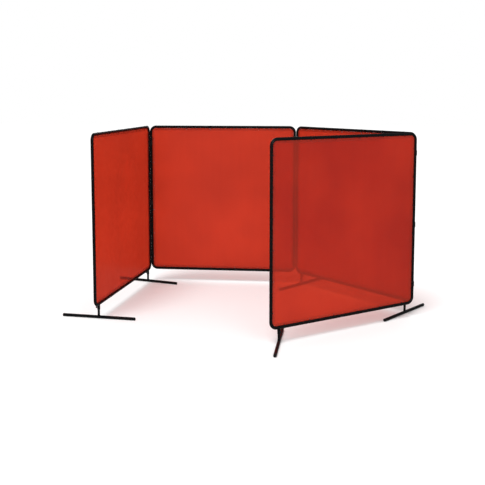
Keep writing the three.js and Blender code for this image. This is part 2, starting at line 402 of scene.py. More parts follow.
def ramp(tree, value, low, high):
    """Stretches a value so that low gives 0 and high gives 1."""
    node = add_node(tree, "MapRange", {"Value": value, "From Min": low, "From Max": high})
    return node.outputs[0]


def arithmetic(tree, operation, first, second, clamp=False):
    """One step of arithmetic."""
    node = add_node(tree, "Math", operation=operation, use_clamp=clamp)
    feed(tree, node.inputs[0], first)
    feed(tree, node.inputs[1], second)
    return node.outputs[0]


def times(tree, first, second):
    """A product."""
    return arithmetic(tree, "MULTIPLY", first, second)


def mix_colour(tree, factor, first, second):
    """A blend of two colours."""
    node = add_node(tree, "Mix", data_type="RGBA")
    colour_inputs = [socket for socket in node.inputs if socket.type == "RGBA"]
    feed(tree, node.inputs[0], factor)
    feed(tree, colour_inputs[0], first)
    feed(tree, colour_inputs[1], second)
    return next(socket for socket in node.outputs if socket.type == "RGBA")


def noise(tree, vector, scale, detail=2.0, roughness=0.5):
    """The value of a noise texture."""
    return add_node(tree, "TexNoise", {"Vector": vector, "Scale": scale, "Detail": detail,
                                       "Roughness": roughness}).outputs[0]


def scaled(tree, vector, scale):
    """A vector stretched by a scale for each axis."""
    return add_node(tree, "Mapping", {"Vector": vector, "Scale": scale}).outputs[0]


def rubbed_group():
    """Scuffs and settled dust: where a hard finish is rubbed, pale or dull."""
    tree, given, out = node_group(
        "Rubbed finish",
        [("Vector", "Vector", None), ("Clean", "Color", (0, 0, 0, 1)),
         ("Rubbed", "Color", (0.02, 0.02, 0.02, 1)), ("Scuffs", "Float", 0.5),
         ("Dust", "Float", 0.3), ("Gloss", "Float", 0.35), ("Dull", "Float", 0.6)],
        [("Color", "Color"), ("Roughness", "Float")])
    vector = given.outputs["Vector"]
    streaks = noise(tree, scaled(tree, vector, (14.0, 14.0, 90.0)), 1.6, 4.0, 0.6)
    patches = noise(tree, vector, 3.1, 3.0)
    scuffs = times(tree, ramp(tree, streaks, 0.60, 0.74), ramp(tree, patches, 0.42, 0.66))
    scuffs = times(tree, scuffs, given.outputs["Scuffs"])
    normal = add_node(tree, "NewGeometry").outputs["Normal"]
    facing = add_node(tree, "SeparateXYZ", {"Vector": normal})
    lying = ramp(tree, facing.outputs["Z"], 0.35, 1.0)
    specks = ramp(tree, noise(tree, vector, 46.0, 4.0), 0.35, 0.75)
    settled = times(tree, times(tree, lying, specks), given.outputs["Dust"])
    mask = arithmetic(tree, "ADD", scuffs, settled, clamp=True)
    colour_out = mix_colour(tree, mask, given.outputs["Clean"], given.outputs["Rubbed"])
    tree.links.new(colour_out, out.inputs["Color"])
    cloudy = times(tree, arithmetic(tree, "SUBTRACT", noise(tree, vector, 21.0, 3.0), 0.5), 0.22)
    base = arithmetic(tree, "ADD", given.outputs["Gloss"], cloudy)
    spread = arithmetic(tree, "SUBTRACT", given.outputs["Dull"], given.outputs["Gloss"])
    rough = arithmetic(tree, "ADD", base, times(tree, spread, mask))
    tree.links.new(rough, out.inputs["Roughness"])
    return tree


def grain_group():
    """Fine relief: a rolling swell with a finer grain on it."""
    tree, given, out = node_group(
        "Fine grain",
        [("Vector", "Vector", None), ("Swell scale", "Float", 300.0),
         ("Grain scale", "Float", 1500.0), ("Grain", "Float", 0.3)],
        [("Height", "Float")])
    vector = given.outputs["Vector"]
    swell = noise(tree, vector, given.outputs["Swell scale"], 1.0)
    fine = noise(tree, vector, given.outputs["Grain scale"], 3.0)
    height = arithmetic(tree, "ADD", swell, times(tree, fine, given.outputs["Grain"]))
    tree.links.new(height, out.inputs["Height"])
    return tree


def blotch_group():
    """Broad cloudiness of cast vinyl, and faint streaks from its rolling."""
    tree, given, out = node_group(
        "Vinyl cloud",
        [("Vector", "Vector", None), ("Deep", "Color", (0.3, 0, 0, 1)),
         ("Pale", "Color", (0.4, 0, 0, 1)), ("Cloud scale", "Float", 1.6)],
        [("Color", "Color")])
    vector = given.outputs["Vector"]
    cloud = noise(tree, vector, given.outputs["Cloud scale"], 2.0, 0.45)
    streak = noise(tree, scaled(tree, vector, (16.0, 1.0, 1.2)), 1.4, 3.0)
    mixed = arithmetic(tree, "ADD", times(tree, cloud, 1 - STREAK_SHARE),
                       times(tree, streak, STREAK_SHARE))
    colour_out = mix_colour(tree, ramp(tree, mixed, 0.36, 0.66),
                            given.outputs["Deep"], given.outputs["Pale"])
    tree.links.new(colour_out, out.inputs["Color"])
    return tree


def blank(name):
    """A material with a Principled shader and its tree."""
    material = bpy.data.materials.new(name)
    material.use_nodes = True
    tree = material.node_tree
    shader = next(n for n in tree.nodes if n.type == "BSDF_PRINCIPLED")
    output = next(n for n in tree.nodes if n.type == "OUTPUT_MATERIAL")
    return material, tree, shader, output


def rgba(value):
    """A colour property as four numbers."""
    return (value[0], value[1], value[2], 1.0)


def add_group(tree, group, links):
    """A group's node, with its links and values."""
    node = tree.nodes.new("ShaderNodeGroup")
    node.node_tree = group
    for name, value in links.items():
        feed(tree, node.inputs[name], value)
    return node


def set_inputs(shader, **values):
    """Sets a shader's own inputs; an underscore stands for a space."""
    for name, value in values.items():
        shader.inputs[name.replace("_", " ")].default_value = value


def relief(tree, shader, vector, swell, grain, share, strength, height):
    """Fine bump from the grain group."""
    skin = add_group(tree, GROUPS["grain"], {
        "Vector": vector, "Swell scale": swell, "Grain scale": grain, "Grain": share})
    bump = add_node(tree, "Bump", {
        "Height": skin.outputs["Height"], "Strength": strength, "Distance": height})
    tree.links.new(bump.outputs["Normal"], shader.inputs["Normal"])


def hard_finish(name, clean, rubbed, gloss, dull, scuffs, dust, swell, grain, depth, specular, metal=0.0):
    """A painted, moulded or plated finish with scuffs, dust and fine relief."""
    material, tree, shader, _ = blank(name)
    vector = add_node(tree, "TexCoord").outputs["Object"]
    worn = add_group(tree, GROUPS["rubbed"], {
        "Vector": vector, "Clean": rgba(clean), "Rubbed": rgba(rubbed),
        "Scuffs": scuffs, "Dust": dust, "Gloss": gloss, "Dull": dull})
    tree.links.new(worn.outputs["Color"], shader.inputs["Base Color"])
    tree.links.new(worn.outputs["Roughness"], shader.inputs["Roughness"])
    relief(tree, shader, vector, swell, grain, 0.35, 0.5, depth * MM)
    set_inputs(shader, Specular_IOR_Level=specular, Metallic=metal)
    return material


def vinyl_finish(name, deep, pale, tint, see_through):
    """Tinted translucent film: each face lets a share of the light straight through."""
    material, tree, shader, output = blank(name)
    vector = add_node(tree, "TexCoord").outputs["Object"]
    cloud = add_group(tree, GROUPS["blotch"], {
        "Vector": vector, "Deep": rgba(deep), "Pale": rgba(pale), "Cloud scale": 1.5})
    tree.links.new(cloud.outputs["Color"], shader.inputs["Base Color"])
    rough = add_node(tree, "MapRange", {
        "Value": noise(tree, vector, 12.0, 3.0), "To Min": 0.30, "To Max": 0.46})
    tree.links.new(rough.outputs[0], shader.inputs["Roughness"])
    relief(tree, shader, vector, 210.0, 1400.0, 0.25, 0.35, 0.12 * MM)
    set_inputs(shader, Specular_IOR_Level=0.28, Coat_Weight=0.35, Coat_Roughness=0.14)
    clear_part = add_node(tree, "BsdfTransparent", {"Color": rgba(tint)})
    mix = add_node(tree, "MixShader", {"Fac": see_through})
    tree.links.new(shader.outputs[0], mix.inputs[1])
    tree.links.new(clear_part.outputs[0], mix.inputs[2])
    tree.links.new(mix.outputs[0], output.inputs["Surface"])
    return material


def make_finishes():
    """Builds the shared groups and every material once."""
    shades = bpy.context.scene.screen_colours
    GROUPS.update(rubbed=rubbed_group(), grain=grain_group(), blotch=blotch_group())
    enamel = (shades.enamel, shades.enamel_rubbed)
    nylon = (shades.nylon, shades.nylon_bloom)
    # Name, its two colours, then gloss, dull, scuffs, dust, swell and grain scales,
    # depth of relief in millimetres, specular level and metal.
    hard = {
        "enamel": ("frame_enamel", *enamel, 0.27, 0.55, 0.7, 0.30, 420.0, 1900.0, 0.12, 0.38),
        "foot": ("foot_enamel", *enamel, 0.30, 0.62, 1.0, 0.5, 420.0, 1900.0, 0.12, 0.38),
        "nylon": ("black_nylon", *nylon, 0.50, 0.72, 0.8, 0.3, 700.0, 3200.0, 0.10, 0.32),
        "tie": ("tie_nylon", *nylon, 0.42, 0.60, 0.3, 0.1, 900.0, 3600.0, 0.06, 0.34),
        "oxide": ("black_oxide", shades.oxide, shades.steel_dull,
                  0.34, 0.50, 0.25, 0.1, 800.0, 3600.0, 0.03, 0.5, 1.0),
        "steel": ("bare_steel", shades.steel, shades.steel_dull,
                  0.32, 0.52, 0.8, 0.4, 500.0, 3600.0, 0.04, 0.5, 1.0),
        "eyelet": ("eyelet_lacquer", shades.eyelet, shades.thread,
                   0.30, 0.50, 0.4, 0.1, 900.0, 3600.0, 0.03, 0.4),
        "thread": ("hem_thread", shades.thread, shades.eyelet,
                   0.70, 0.85, 0.4, 0.2, 1600.0, 4200.0, 0.12, 0.2),
    }
    for key, values in hard.items():
        FINISHES[key] = hard_finish(*values)
    pair, tint = (shades.vinyl, shades.vinyl_light), shades.vinyl_see
    doubled = [[part * HEM_DEPTH for part in shade] for shade in pair]
    FINISHES["vinyl"] = vinyl_finish("curtain_vinyl", *pair, tint, FILM_SEE_THROUGH)
    FINISHES["hem"] = vinyl_finish("curtain_hem", *doubled, tint, HEM_SEE_THROUGH)


# ------------------------------------------------------------------ tube frames

OVERRUN = 1 * MM
SOCKET_LOOP = 30 * MM
BOSS_RADIUS, BOSS_SEAT, BOSS_STANDS = 6 * MM, 3 * MM, 5 * MM
THREAD_RADIUS = 3.2 * MM
SPLICE_HOLE = 2.8 * MM
BEAD_STANDOFF = 0.9 * MM
SOCKET_BEAD, POST_BEAD = 2.1 * MM, 2.2 * MM
BEAD_RIPPLES = 26


def bent_bar(name, sizes, lay, radius, end_z, rail_z, stops):
    """A closed bar from one stile's end round both bends to the other stile's end."""
    half, bend = lay["half"], sizes.bend_radius
    away = 1 if rail_z > end_z else -1
    bend_z = rail_z - away * bend
    obj = start(bpy.ops.mesh.primitive_circle_add, name, vertices=sizes.tube_sides, radius=radius,
                fill_type="NOTHING", location=(-half, 0, end_z))
    edit(obj)
    bpy.ops.mesh.select_all(action="SELECT")
    pull(0, 0, bend_z - end_z)
    turn(away * math.pi / 2, (bend - half, 0, bend_z), (0, 1, 0), sizes.bend_steps)
    here = bend - half
    for stop in [*sorted(stops), half - bend]:
        pull(stop - here, 0, 0)
        here = stop
    turn(away * math.pi / 2, (half - bend, 0, bend_z), (0, 1, 0), sizes.bend_steps)
    pull(0, 0, end_z - bend_z)
    done()
    weld(obj)
    cap_ends(obj)
    return obj


def weld_bead(name, ring, thickness, seat, centre, upward):
    """A rippled fillet of weld round a post, bent to the saddle of the tube it stands on."""
    obj = start(bpy.ops.mesh.primitive_torus_add, name, major_radius=ring, minor_radius=thickness,
                major_segments=104, minor_segments=8)

    def settle(points):
        x, y, z = points.T
        around = np.arctan2(y, x)
        reach = np.hypot(x, y) - ring
        swell = 0.88 + 0.16 * np.abs(np.sin(around * BEAD_RIPPLES / 2 + 0.35 * np.sin(3 * around)))
        radius = ring + reach * swell
        across = np.minimum(np.abs(seat["across"](around)) * radius, seat["radius"] * 0.97)
        drop = np.sqrt(seat["radius"] ** 2 - across ** 2)
        return np.stack([radius * np.cos(around) + centre[0], radius * np.sin(around) + centre[1],
                         centre[2] + upward * (drop + 0.1 * MM) + z * swell], axis=1)

    move_points(obj, settle)
    return obj


def frame_half(name, sizes, lay, upper, sockets=()):
    """One half of a frame: a bent tube, with its post sockets under a bottom rail."""
    radius, wall = sizes.tube_radius, sizes.tube_wall
    rail = lay["top_rail"] if upper else lay["bottom_rail"]
    end = lay["top_end"] if upper else lay["bottom_end"]
    away = 1 if upper else -1
    spots = [SIDE[side] * lay["foot"] for side in sockets]
    stops = [x + step for x in spots for step in (-SOCKET_LOOP, SOCKET_LOOP)]
    body = bent_bar(name, sizes, lay, radius, end, rail, stops)
    underside, low = rail - radius, rail - radius - sizes.socket_drop
    knob_z = (underside + low) / 2
    for x in spots:
        cut(body, rod("socket", radius, sizes.tube_sides, low, rail, at=(x, 0, 0)), "UNION")
        boss = rod("boss", BOSS_RADIUS, 6, radius - BOSS_SEAT, radius + BOSS_STANDS, "Y", (x, 0, knob_z))
        round_edges(boss, 0.5 * MM, 2, 80)
        cut(body, boss, "UNION")
    cut(body, bent_bar("bore", sizes, lay, radius - wall, end - away * OVERRUN, rail, ()))
    for x in spots:
        cut(body, rod("seat", sizes.socket_bore, sizes.tube_sides, low - OVERRUN, underside,
                      at=(x, 0, 0)))
        cut(body, rod("thread", THREAD_RADIUS, 24, 0, radius + BOSS_STANDS + OVERRUN, "Y",
                      (x, 0, knob_z)))
    if upper:
        for side, sign in SIDE.items():
            cut(body, rod("hole", SPLICE_HOLE, 24, 0, SCREW_FACING[side] * (radius + OVERRUN), "Y",
                          (sign * lay["half"], 0, lay["screw"])))
    smooth(body)
    seat = {"radius": radius, "across": np.sin}
    beads = [weld_bead("bead", radius + BEAD_STANDOFF, SOCKET_BEAD, seat, (x, 0, rail), -1)
             for x in spots]
    for bead in beads:
        smooth(bead, 60)
    return join([body, *beads], name)


class WELDSCREEN_OT_frames(bpy.types.Operator):
    """Bends the frame halves and sets them in place"""

    bl_idname = "weld_screen.frames"
    bl_label = "Tube frames"

    def execute(self, context):
        sizes = context.scene.screen_sizes
        lay = panel_layout(sizes)
        upper = frame_half("upper_master", sizes, lay, True)
        lowers = {sides: frame_half("lower_master", sizes, lay, False, sides)
                  for sides in sorted(set(SOCKETS.values()))}
        for master in (upper, *lowers.values()):
            finish_with(master, FINISHES["enamel"])
        for number, sides in SOCKETS.items():
            matrix, body = panel_matrix(number, lay), f"panel_{number}"
            place(upper, f"upper_tube_{number}", matrix, body, [f"frame_top_{number}"])
            place(lowers[sides], f"lower_tube_{number}", matrix, body,
                  [f"frame_bottom_{number}"])
        discard(upper, *lowers.values())
        return {"FINISHED"}


SCREW_STANDOFF = 0.3 * MM
SCREW_HEAD_HEIGHT = 3 * MM
SCREW_SHANK, SCREW_REACH = 2.5 * MM, 8.7 * MM
HEX_RADIUS, HEX_FLOOR = 1.75 * MM, 1.3 * MM


class WELDSCREEN_OT_splices(bpy.types.Operator):
    """Makes the splice screws and finishes the sleeves inside the stiles"""

    bl_idname = "weld_screen.splices"
    bl_label = "Splice screws and sleeves"

    def execute(self, context):
        sizes = context.scene.screen_sizes
        lay = panel_layout(sizes)
        under = sizes.tube_radius + SCREW_STANDOFF
        head = rod("head", sizes.screw_head, 40, under, under + SCREW_HEAD_HEIGHT, "Y")
        edit(head, "FACE")
        pick(head, lambda at, normal: normal.y > 0.9, "FACE")
        bpy.ops.mesh.bevel(offset=1.3 * MM, segments=5, affect="EDGES")
        done()
        shank = rod("shank", SCREW_SHANK, 24, under - SCREW_REACH, under + 0.5 * MM, "Y")
        edit(shank, "FACE")
        pick(shank, lambda at, normal: normal.y < -0.9, "FACE")
        bpy.ops.mesh.bevel(offset=0.6 * MM, segments=1, affect="EDGES")
        done()
        cut(head, shank, "UNION")
        cut(head, rod("hex", HEX_RADIUS, 6, under + HEX_FLOOR, under + 4 * MM, "Y"))
        smooth(head, 30)
        finish_with(head, FINISHES["oxide"])
        for number in SOCKETS:
            panel = panel_matrix(number, lay)
            for side, sign in SIDE.items():
                facing = 0 if SCREW_FACING[side] > 0 else math.pi
                at = Matrix.Translation((sign * lay["half"], 0, lay["screw"]))
                place(head, f"splice_screw_head_{number}_{side}",
                      panel @ (at @ Matrix.Rotation(facing, 4, "Z")), f"panel_{number}",
                      [f"splice_screw_{number}_{side}"])
                finish_with(frame["nodes"][f"splice_sleeve_{number}_{side}"], FINISHES["steel"])
        discard(head)
        return {"FINISHED"}


# ------------------------------------------------------------------ curtains


HEM_RINGS = 5
CORNER_RINGS = 8
CURTAIN_RINGS = 64
EYELET_HOLE = 2.6 * MM
EYELET_RING, EYELET_ROLL = 3.8 * MM, 1.7 * MM
# Slack of a curtain, in millimetres off its flat, and the margin that stays flat.
SWELL, FOLD, CROSS_FOLD, EYELET_PULL = 3.4, 1.3, 0.8, 1.5
FOLD_PITCH, CROSS_PITCH = 0.47, 0.39
FLAT_MARGIN = 30 * MM


def curtain_reach(sizes, lay):
    """Half the curtain's width, its middle height, half its height and its corner radius."""
    inset = sizes.tube_radius + sizes.curtain_gap
    half_width = lay["half"] - inset
    half_height = (lay["top_rail"] - lay["bottom_rail"]) / 2 - inset
    centre = (lay["top_rail"] + lay["bottom_rail"]) / 2
    return half_width, centre, half_height, sizes.bend_radius - inset


def curtain_rings(sizes, corner, half, rings):
    """Distances from the edge of the grid's lines: close in the hem, even beyond it."""
    hem = sizes.hem_width
    lines = [0, 0.24 * hem, 0.5 * hem, 0.76 * hem, hem, hem + 0.9 * MM, hem + 6 * MM,
             hem + 13 * MM, corner]
    rest = np.linspace(corner, half, rings - CORNER_RINGS + 1)[1:]
    return np.concatenate([lines, rest])


def eyelet_spots(sizes, lay):
    """The eyelets' places on the curtain, each with the way out to its tube."""
    half_width, centre, half_height, _ = curtain_reach(sizes, lay)
    number = sizes.eyelets_per_side
    spots = []
    for index in range(number):
        along = (2 * (index + 0.5) / number - 1)
        x, z = along * lay["half"], along * (lay["top_rail"] - lay["bottom_rail"]) / 2
        edge_x, edge_z = half_width - sizes.eyelet_inset, half_height - sizes.eyelet_inset
        spots += [(x, centre + edge_z, 90.0), (x, centre - edge_z, -90.0),
                  (edge_x, centre + z, 0.0), (-edge_x, centre + z, 180.0)]
    return spots


def curtain_master(sizes, lay):
    """A flat curtain: single film with a doubled hem, rounded corners and eyelet holes."""
    half_width, centre, half_height, corner = curtain_reach(sizes, lay)
    rings = CURTAIN_RINGS
    obj = start(bpy.ops.mesh.primitive_grid_add, "curtain_master", x_subdivisions=2 * rings,
                y_subdivisions=2 * rings, size=2, rotation=(math.pi / 2, 0, 0))
    flat = {}

    def cut_out(points):
        inside = {}
        for axis, half in ((0, half_width), (2, half_height)):
            steps = np.rint((1 - np.abs(points[:, axis])) * rings).astype(int)
            flat[axis] = steps
            lines = curtain_rings(sizes, corner, half, rings)
            inside[axis] = (half - lines[steps]) * np.sign(points[:, axis])
        over_x = np.clip((np.abs(inside[0]) - (half_width - corner)) / corner, 0, 1)
        over_z = np.clip((np.abs(inside[2]) - (half_height - corner)) / corner, 0, 1)
        drawn_x = over_x * (1 - np.sqrt(1 - over_z ** 2 / 2)) * corner
        drawn_z = over_z * (1 - np.sqrt(1 - over_x ** 2 / 2)) * corner
        return np.stack([inside[0] - np.sign(inside[0]) * drawn_x, np.zeros(len(points)),
                         centre + inside[2] - np.sign(inside[2]) * drawn_z], axis=1)

    move_points(obj, cut_out)
    ring = np.minimum(flat[0], flat[2])
    hem = obj.vertex_groups.new(name="hem")
    hem.add([int(i) for i in np.nonzero(ring < HEM_RINGS)[0]], 1.0, "REPLACE")
    obj.data.materials.append(FINISHES["vinyl"])
    obj.data.materials.append(FINISHES["hem"])
    for face in obj.data.polygons:
        if all(ring[i] <= HEM_RINGS for i in face.vertices):
            face.material_index = 1
    layer = obj.data.uv_layers.active or obj.data.uv_layers.new(name="cut")
    for loop in obj.data.loops:
        at = obj.data.vertices[loop.vertex_index].co
        layer.data[loop.index].uv = (at.x / (2 * half_width) + 0.5,
                                     (at.z - centre) / (2 * half_height) + 0.5)
    modify(obj, "SOLIDIFY", thickness=sizes.hem_thickness, offset=0.0, vertex_group="hem",
           thickness_vertex_group=sizes.film_thickness / sizes.hem_thickness, use_even_offset=False)
    round_edges(obj, 0.5 * MM, 2, 70)
    holes = [rod("hole", EYELET_HOLE, 20, -5 * MM, 5 * MM, "Y", (x, 0, z))
             for x, z, _ in eyelet_spots(sizes, lay)]
    cut(obj, join(holes, "holes"))
    obj.vertex_groups.clear()
    smooth(obj, 50)
    return obj


def hang(obj, number, sizes, lay):
    """Gives a curtain its slack: broad swells, soft folds, and pulls in from the eyelets."""
    half_width, centre, half_height, _ = curtain_reach(sizes, lay)
    lean = 1.7 * number
    pitch = 2 * lay["half"] / sizes.eyelets_per_side

    def drape(points):
        x, y, z = points.T
        height = z - centre
        from_x, from_z = half_width - np.abs(x), half_height - np.abs(height)
        near = np.minimum(from_x, from_z)
        ease = np.clip((near - 32 * MM) / (260 * MM), 0, 1)
        ease = ease * ease * (3 - 2 * ease)
        swell = SWELL * np.sin(2.6 * x + lean) * np.cos(2.1 * height + 0.7 * lean)
        folds = FOLD * np.sin(2 * math.pi * x / FOLD_PITCH + lean + 0.8 * np.sin(2.9 * height + lean))
        cross = CROSS_FOLD * np.sin(
            2 * math.pi * height / CROSS_PITCH + 2.2 * lean + 1.1 * np.sin(3.3 * x))
        bite = np.clip((near - FLAT_MARGIN) / (45 * MM), 0, 1)
        fade = np.exp(-np.maximum(near - FLAT_MARGIN, 0) / (95 * MM)) * bite
        along = np.where(from_x < from_z, height, x)
        bias = np.sin(lean + 2 * x - height)
        pulls = EYELET_PULL * fade * np.cos(2 * math.pi * along / pitch + math.pi) * np.sign(bias)
        pulls = pulls * np.clip(np.abs(bias) * 3, 0, 1)
        return np.stack([x, y + (ease * (swell + folds + cross) + pulls) * MM, z], axis=1)

    move_points(obj, drape)


TIE_WIDTH, TIE_THICK = 3.5 * MM, 1.2 * MM
TIE_CLEAR, TIE_TIP = 0.85 * MM, 1.9 * MM
TIE_BLOCK = (3.4 * MM, 4.6 * MM, 5.2 * MM)
TIE_TAIL = (3.2 * MM, TIE_THICK, TIE_WIDTH)
BLOCK_ALONG = 3 * MM


def tie_master(sizes):
    """A strap looped round the tube and through an eyelet, drawn tight in its own block."""
    tube = sizes.tube_radius + TIE_CLEAR
    reach = sizes.tube_radius + sizes.curtain_gap + sizes.eyelet_inset - TIE_TIP
    lean = math.acos((tube - TIE_TIP) / reach)
    straight = math.sqrt(reach ** 2 - (tube - TIE_TIP) ** 2)
    across, down = straight * math.sin(lean), straight * math.cos(lean)
    end = (reach + TIE_TIP, 0, 0)
    obj = start(bpy.ops.mesh.primitive_plane_add, "tie_master", size=1, location=end,
                rotation=(math.pi / 2, 0, 0))
    edit(obj)
    bpy.ops.mesh.select_all(action="SELECT")
    bpy.ops.transform.resize(value=(TIE_THICK, 1, TIE_WIDTH), center_override=end)
    bpy.ops.mesh.delete(type="ONLY_FACE")
    bpy.ops.mesh.select_all(action="SELECT")
    turn(lean, (reach, 0, 0), (0, 0, 1), 4)
    pull(-across, down, 0)
    turn(2 * math.pi - 2 * lean, (0, 0, 0), (0, 0, 1), 22)
    pull(across, down, 0)
    turn(lean, (reach, 0, 0), (0, 0, 1), 4)
    done()
    weld(obj)
    outward = Vector((math.cos(lean), math.sin(lean), 0))
    beside = Vector((math.sin(lean), -math.cos(lean), 0)) * BLOCK_ALONG
    block, tail = (
        start(bpy.ops.mesh.primitive_cube_add, name, size=1, rotation=(0, 0, lean), scale=shape,
              location=outward * (tube + stand) + beside)
        for name, stand, shape in (("block", 0.5 * MM, TIE_BLOCK), ("tail", 2.6 * MM, TIE_TAIL)))
    round_edges(block, 0.5 * MM, 1)
    strap = join([obj, block, tail], "tie_master")
    smooth(strap, 40)
    finish_with(strap, FINISHES["tie"])
    return strap


def eyelet_master():
    """A rolled two-part eyelet that clasps the hem."""
    obj = start(bpy.ops.mesh.primitive_torus_add, "eyelet_master", major_radius=EYELET_RING,
                minor_radius=EYELET_ROLL, major_segments=28, minor_segments=10,
                rotation=(math.pi / 2, 0, 0))
    edit(obj)
    bpy.ops.mesh.select_all(action="SELECT")
    bpy.ops.transform.resize(value=(1, 0.85, 1), center_override=(0, 0, 0))
    done()
    smooth(obj, 60)
    finish_with(obj, FINISHES["eyelet"])
    return obj


STITCH_PITCH, STITCH_INSET = 6.0 * MM, 3.2 * MM
STITCH_SHAPE = (0.42 * MM, 0.42 * MM, 2.35 * MM)
STITCH_PROUD = 0.12 * MM


def stitch_lines(name, sizes, lay):
    """Lockstitch along the hem's inner edge, on both faces."""
    half_width, centre, half_height, corner = curtain_reach(sizes, lay)
    inset = sizes.hem_width - STITCH_INSET
    proud = sizes.hem_thickness / 2 + STITCH_PROUD
    rows = []
    for along_x, half, other in ((True, half_width, half_height), (False, half_height, half_width)):
        run = 2 * (half - corner)
        first = -run / 2 + STITCH_PITCH / 2
        step = (STITCH_PITCH, 0, 0) if along_x else (0, 0, STITCH_PITCH)
        for sign in (-1, 1):
            at = sign * (other - inset)
            for face in (-1, 1):
                spot = ((first, face * proud, centre + at) if along_x
                        else (at, face * proud, centre - run / 2 + STITCH_PITCH / 2))
                row = start(bpy.ops.mesh.primitive_uv_sphere_add, "stitch", segments=6,
                            ring_count=4, radius=1, location=spot, scale=STITCH_SHAPE,
                            rotation=(0, math.pi / 2, 0) if along_x else (0, 0, 0))
                modify(row, "ARRAY", count=int(run / STITCH_PITCH), use_relative_offset=False,
                       use_constant_offset=True, constant_offset_displace=step)
                rows.append(row)
    stitching = join(rows, name)
    smooth(stitching, 80)
    finish_with(stitching, FINISHES["thread"])
    return stitching


class WELDSCREEN_OT_curtains(bpy.types.Operator):
    """Hems, hangs and laces the vinyl curtains"""

    bl_idname = "weld_screen.curtains"
    bl_label = "Curtains, eyelets, ties and stitching"

    def execute(self, context):
        sizes = context.scene.screen_sizes
        lay = panel_layout(sizes)
        curtain = curtain_master(sizes, lay)
        tie, eyelet = tie_master(sizes), eyelet_master()
        spots = eyelet_spots(sizes, lay)
        reach = sizes.tube_radius + sizes.curtain_gap + sizes.eyelet_inset
        ties, eyelets = [], []
        to_tube, half_turn = Matrix.Translation((reach, 0, 0)), Matrix.Rotation(math.pi, 4, "Z")
        for x, z, way in spots:
            out = Matrix.Translation((x, 0, z)) @ Matrix.Rotation(-math.radians(way), 4, "Y")
            eyelets.append(copy_of(eyelet, out))
            ties.append(copy_of(tie, out @ to_tube @ half_turn))
        all_ties, all_eyelets = join(ties, "ties_master"), join(eyelets, "eyelets_master")
        stitching = stitch_lines("stitching_master", sizes, lay)
        for number in SOCKETS:
            matrix, body = panel_matrix(number, lay), f"panel_{number}"
            sheet = place(curtain, f"vinyl_curtain_{number}", Matrix.Identity(4), body,
                          [f"curtain_{number}"])
            hang(sheet, number, sizes, lay)
            sheet.data.transform(matrix)
            laced = [place(all_ties, f"curtain_ties_{number}", matrix, body),
                     place(all_eyelets, f"curtain_eyelets_{number}", matrix, body),
                     place(stitching, f"curtain_stitching_{number}", matrix, body)]
        discard(curtain, tie, eyelet, all_ties, all_eyelets, stitching)
        return {"FINISHED"}


# ------------------------------------------------------------------ hinge clips


CLIP_MOUTH = math.radians(72)
CLIP_LIP = 2.3 * MM
CLIP_RECESS = 0.9 * MM
CLIP_WEB = 16.5 * MM


def clip_grip(sizes, offset, way):
    """One C grip with raised rims and rolled lips; its mouth faces away from the web."""
    bore, outside, tall = sizes.clip_bore, sizes.clip_outside, sizes.clip_height / 2
    half_wall = (bore + outside) / 2
    obj = start(bpy.ops.mesh.primitive_plane_add, "grip", size=1, location=(half_wall, 0, 0),
                rotation=(math.pi / 2, 0, 0))
    edit(obj, "EDGE")
    bpy.ops.mesh.select_all(action="SELECT")
    bpy.ops.transform.resize(value=(outside - bore, 1, 2 * tall), center_override=(half_wall, 0, 0))
    pick(obj, lambda at, along: abs(along.z) > 0.9, "EDGE")
    bpy.ops.mesh.subdivide(number_cuts=4)
    bpy.ops.mesh.select_mode(type="VERT")
    for old, new in ((0.6, 0.68), (0.2, 0.60)):
        for sign in (-1, 1):
            pick(obj, lambda at, _: abs(at.z / tall - sign * old) < 0.05)
            bpy.ops.transform.translate(value=(0, 0, sign * tall * (new - old)))
    pick(obj, lambda at, _: at.x > half_wall and abs(at.z) < 0.64 * tall)
    bpy.ops.transform.translate(value=(-CLIP_RECESS, 0, 0))
    done()
    obj.data.transform(Matrix.Rotation(CLIP_MOUTH - math.pi, 4, "Z"))
    edit(obj)
    bpy.ops.mesh.select_all(action="SELECT")
    turn(2 * (math.pi - CLIP_MOUTH), (0, 0, 0), (0, 0, 1), 44)
    done()
    weld(obj)
    lip_half = tall - 0.4 * MM
    for sign in (-1, 1):
        angle = sign * (math.pi - CLIP_MOUTH)
        at = Vector((math.cos(angle), math.sin(angle), 0)) * (bore + CLIP_LIP - 0.05 * MM)
        cut(obj, rod("lip", CLIP_LIP, 20, -lip_half, lip_half, "Z", at), "UNION")
    flip = Matrix.Identity(4) if way > 0 else Matrix.Rotation(math.pi, 4, "Z")
    obj.data.transform(Matrix.Translation((offset, 0, 0)) @ flip)
    return obj


